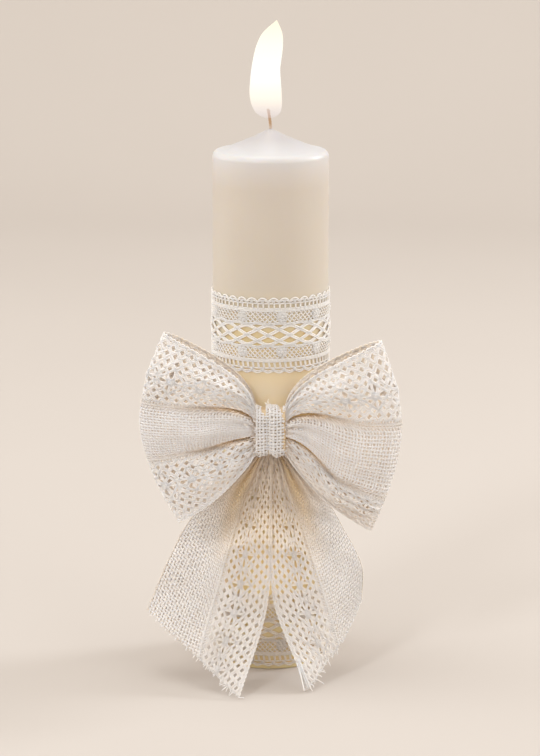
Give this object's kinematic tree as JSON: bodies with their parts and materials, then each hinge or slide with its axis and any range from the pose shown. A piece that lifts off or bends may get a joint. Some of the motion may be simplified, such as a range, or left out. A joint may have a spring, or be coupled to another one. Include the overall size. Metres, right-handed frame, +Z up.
{
  "type": "decorated pillar candle",
  "caption": "Tall wax pillar candle with wick and flame, lace bands round the wax, and a lace-edged linen bow whose hanging tails lift.",
  "frame": {"origin": "middle of the pillar's flat foot, on the surface that it stands on", "axes": "+Z up along the pillar, -Y towards the front, where the bow is, +X to the right seen from the front"},
  "size_m": [0.1328, 0.1122, 0.336],
  "materials": {
    "wax": "satin wax, cream white",
    "wick": "braided cotton, browned where it burns",
    "tinplate": "pressed tinplate",
    "flame": "glowing, translucent",
    "band_lace": "cotton lace",
    "ribbon_lace": "cotton lace",
    "linen": "open plain weave",
    "thread": "cotton thread",
    "tape": "clear adhesive strip",
    "glue": "set hot-melt glue"
  },
  "bodies": {
    "candle": {"candle_body": "wax", "wick": "wick", "wick_foot_plate": "tinplate", "flame": "flame", "upper_lace_band": "band_lace", "upper_band_tape": "tape", "lower_lace_band": "band_lace", "lower_band_tape": "tape", "bow_glue_pad": "glue", "bow_gathered_centre": "linen", "bow_binding_thread": "thread", "bow_knot_wrap": "linen", "left_loop_upper_lace": "ribbon_lace", "left_loop_linen": "linen", "left_loop_lower_lace": "ribbon_lace", "right_loop_upper_lace": "ribbon_lace", "right_loop_linen": "linen", "right_loop_lower_lace": "ribbon_lace"},
    "left_tail": {"left_tail_lace": "ribbon_lace", "left_tail_linen": "linen", "left_tail_back_lace": "ribbon_lace"},
    "right_tail": {"right_tail_lace": "ribbon_lace", "right_tail_linen": "linen", "right_tail_back_lace": "ribbon_lace"}
  },
  "joints": [
    {"name": "left_tail_lift", "type": "hinge", "parent": "candle", "child": "left_tail", "pos_m": [-0.004, -0.034, 0.1176], "axis": [-1, 0, 0], "range_deg": [0, 15]},
    {"name": "right_tail_lift", "type": "hinge", "parent": "candle", "child": "right_tail", "pos_m": [0.004, -0.034, 0.1176], "axis": [-1, 0, 0], "range_deg": [0, 15]}
  ]
}
